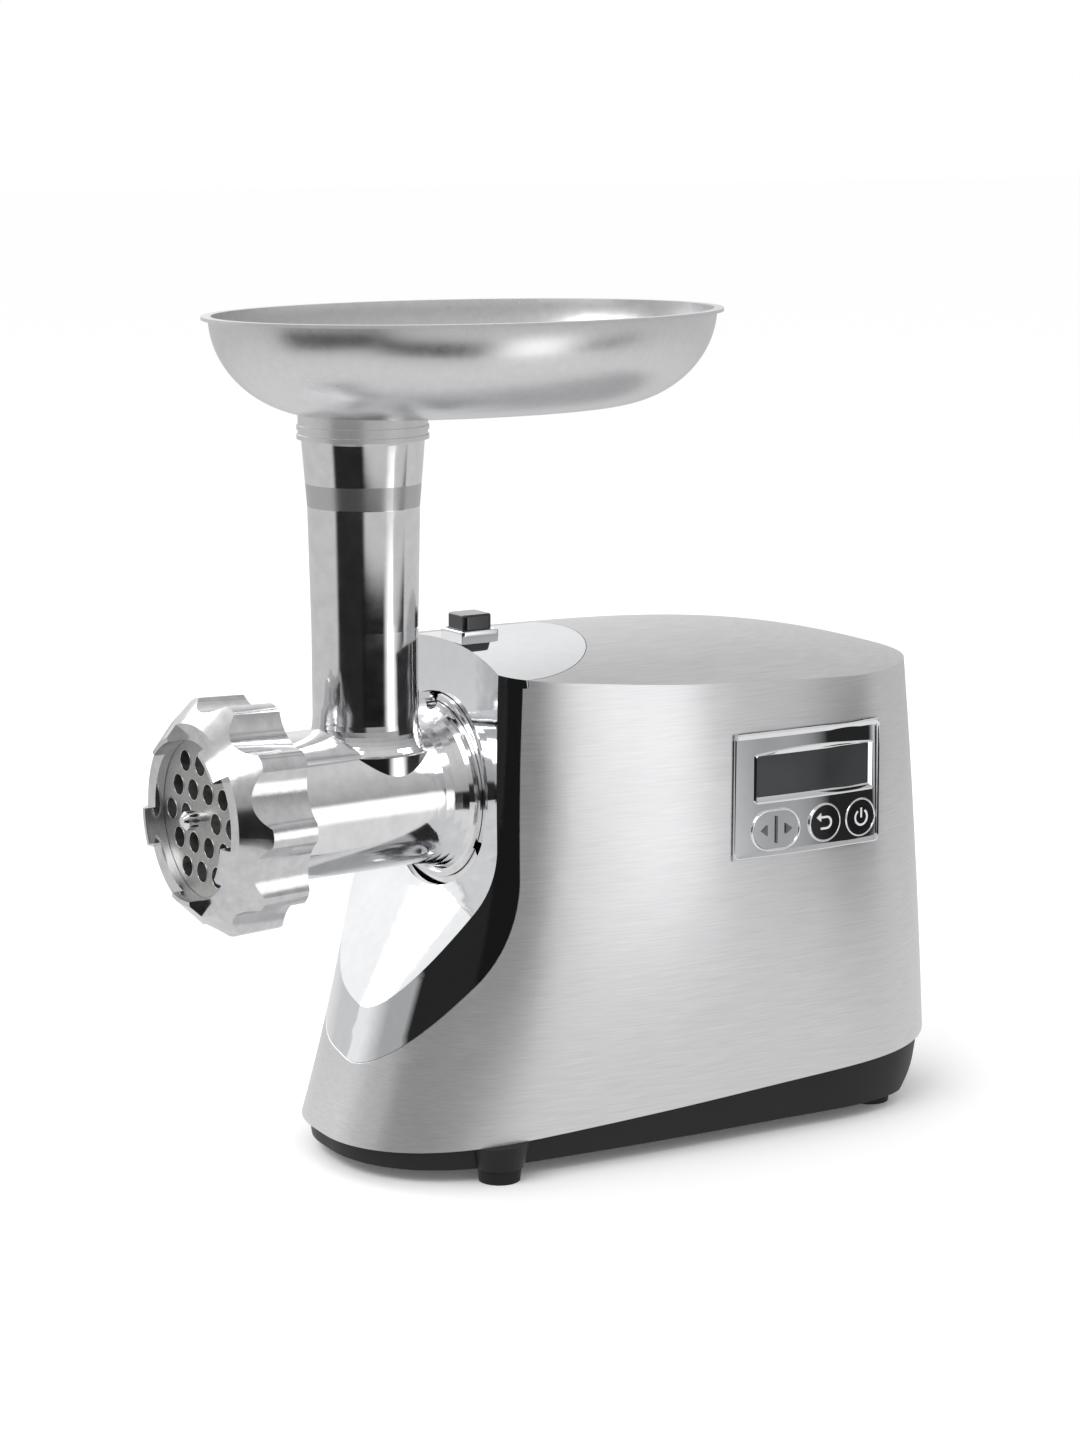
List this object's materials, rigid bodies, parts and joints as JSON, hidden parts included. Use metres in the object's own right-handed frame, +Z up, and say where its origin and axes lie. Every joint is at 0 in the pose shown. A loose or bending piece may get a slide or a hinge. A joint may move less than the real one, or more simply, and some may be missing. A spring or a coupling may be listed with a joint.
{
  "type": "electric meat grinder",
  "caption": "Electric meat grinder with a brushed steel motor housing, chrome front, cast head with feed tube, ring nut, cutting plate, steel hopper tray and a side control panel.",
  "frame": {"origin": "on the table under the middle of the machine's length and width", "axes": "+Z up, -Y the way the grinder head points, +X the side with the control panel"},
  "size_m": [0.1488, 0.3248, 0.3208],
  "materials": {
    "brushed_shell": "brushed silver",
    "mirror_chrome": "mirror",
    "black_base": "fine matte black",
    "rubber_feet": "matte",
    "ring_alloy": "polished",
    "cast_head": "polished",
    "plate_steel": "satin",
    "knife_steel": "ground",
    "auger_alloy": "cast",
    "nut_alloy": "satin",
    "tray_steel": "satin with a bright rim",
    "button_black": "gloss",
    "bezel_chrome": "mirror",
    "display_glass": "dark gloss",
    "key_metal": "gloss",
    "moulded_white": "matte",
    "circuit_board": "satin",
    "gear_steel": "ground",
    "gear_nylon": "satin",
    "gear_case": "matte",
    "bush_bronze": "oiled",
    "winding_copper": "enamelled",
    "core_steel": "laminated",
    "brush_carbon": "matte",
    "gland_rubber": "matte",
    "spring_steel": "bright"
  },
  "bodies": {
    "housing": {"body_shell": "brushed_shell", "front_shroud": "mirror_chrome", "base_pan": "black_base", "foot_front_left": "rubber_feet", "foot_front_right": "rubber_feet", "foot_rear_left": "rubber_feet", "foot_rear_right": "rubber_feet", "bayonet_ring": "ring_alloy", "control_bezel": "bezel_chrome", "display_window": "display_glass", "display_module": "moulded_white", "key_board": "circuit_board", "key_switches": "gear_steel", "gearbox_case": "gear_case", "gearbox_cover": "gear_case", "shaft_bushes": "bush_bronze", "motor_stator": "core_steel", "field_windings": "winding_copper", "rear_bracket": "gear_steel", "rear_bush": "bush_bronze", "tie_bolts": "gear_steel", "carbon_brushes": "brush_carbon", "brush_holders": "gear_case", "power_board": "circuit_board", "cord_gland": "gland_rubber", "base_screws": "gear_steel", "release_spring": "spring_steel"},
    "armature": {"motor_shaft": "gear_steel", "motor_pinion": "gear_steel", "armature_stack": "core_steel", "armature_windings": "winding_copper", "commutator": "winding_copper", "motor_fan": "moulded_white"},
    "idler": {"idler_shaft": "gear_steel", "idler_gear": "gear_nylon", "idler_pinion": "gear_steel"},
    "output": {"output_shaft": "gear_steel", "output_gear": "gear_nylon"},
    "head": {"grinder_head": "cast_head", "head_bush": "bush_bronze"},
    "auger_set": {"auger": "auger_alloy", "cutting_knife": "knife_steel", "drive_tail": "gear_steel", "thrust_washer": "moulded_white"},
    "plate_carrier": {"grinding_plate": "plate_steel"},
    "nut": {"ring_nut": "nut_alloy"},
    "tray": {"hopper_tray": "tray_steel"},
    "release": {"release_button": "button_black", "release_stem": "gear_steel"},
    "rocker": {"rocker_button": "key_metal"},
    "return_key": {"return_button": "key_metal"},
    "power_key": {"power_button": "key_metal"}
  },
  "joints": [
    {"name": "motor_spin", "type": "hinge", "parent": "housing", "child": "armature", "pos_m": [-0.008, 0.05, 0.084], "axis": [0, 1, 0], "continuous": true},
    {"name": "idler_spin", "type": "hinge", "parent": "housing", "child": "idler", "pos_m": [0.01532, 0, 0.10091], "axis": [0, 1, 0], "continuous": true},
    {"name": "output_spin", "type": "hinge", "parent": "housing", "child": "output", "pos_m": [0, 0, 0.1413], "axis": [0, 1, 0], "continuous": true},
    {"name": "head_pull", "type": "slide", "parent": "housing", "child": "head", "axis": [0, -1, 0], "range_m": [0, 0.06]},
    {"name": "auger_spin", "type": "hinge", "parent": "head", "child": "auger_set", "pos_m": [0, -0.09, 0.1413], "axis": [0, 1, 0], "continuous": true},
    {"name": "nut_advance", "type": "slide", "parent": "head", "child": "plate_carrier", "axis": [0, -1, 0], "range_m": [0, 0.016]},
    {"name": "nut_turn", "type": "hinge", "parent": "plate_carrier", "child": "nut", "pos_m": [0, -0.15, 0.1413], "axis": [0, -1, 0], "range_deg": [0, 1440]},
    {"name": "tray_lift", "type": "slide", "parent": "head", "child": "tray", "axis": [0, 0, 1], "range_m": [0, 0.04]},
    {"name": "release_press", "type": "slide", "parent": "housing", "child": "release", "axis": [0, 0, -1], "range_m": [0, 0.004], "stiffness_N_per_m": 500, "springref_m": -0.002, "deforming": ["release_spring"]},
    {"name": "rocker_tilt", "type": "hinge", "parent": "housing", "child": "rocker", "pos_m": [0.067, 0.0548, 0.1244], "axis": [0, 0, 1], "range_deg": [-3, 3], "stiffness_Nm_per_rad": 0.2},
    {"name": "return_press", "type": "slide", "parent": "housing", "child": "return_key", "axis": [-1, 0, 0], "range_m": [0, 0.0012], "stiffness_N_per_m": 400, "springref_m": -0.0006},
    {"name": "power_press", "type": "slide", "parent": "housing", "child": "power_key", "axis": [-1, 0, 0], "range_m": [0, 0.0012], "stiffness_N_per_m": 400, "springref_m": -0.0006}
  ],
  "couplings": [
    {"joint": "idler_spin", "follows": "motor_spin", "ratio": -0.2},
    {"joint": "output_spin", "follows": "motor_spin", "ratio": 0.04},
    {"joint": "auger_spin", "follows": "motor_spin", "ratio": 0.04},
    {"joint": "nut_advance", "follows": "nut_turn", "m_per_rad": 0.00063662}
  ]
}
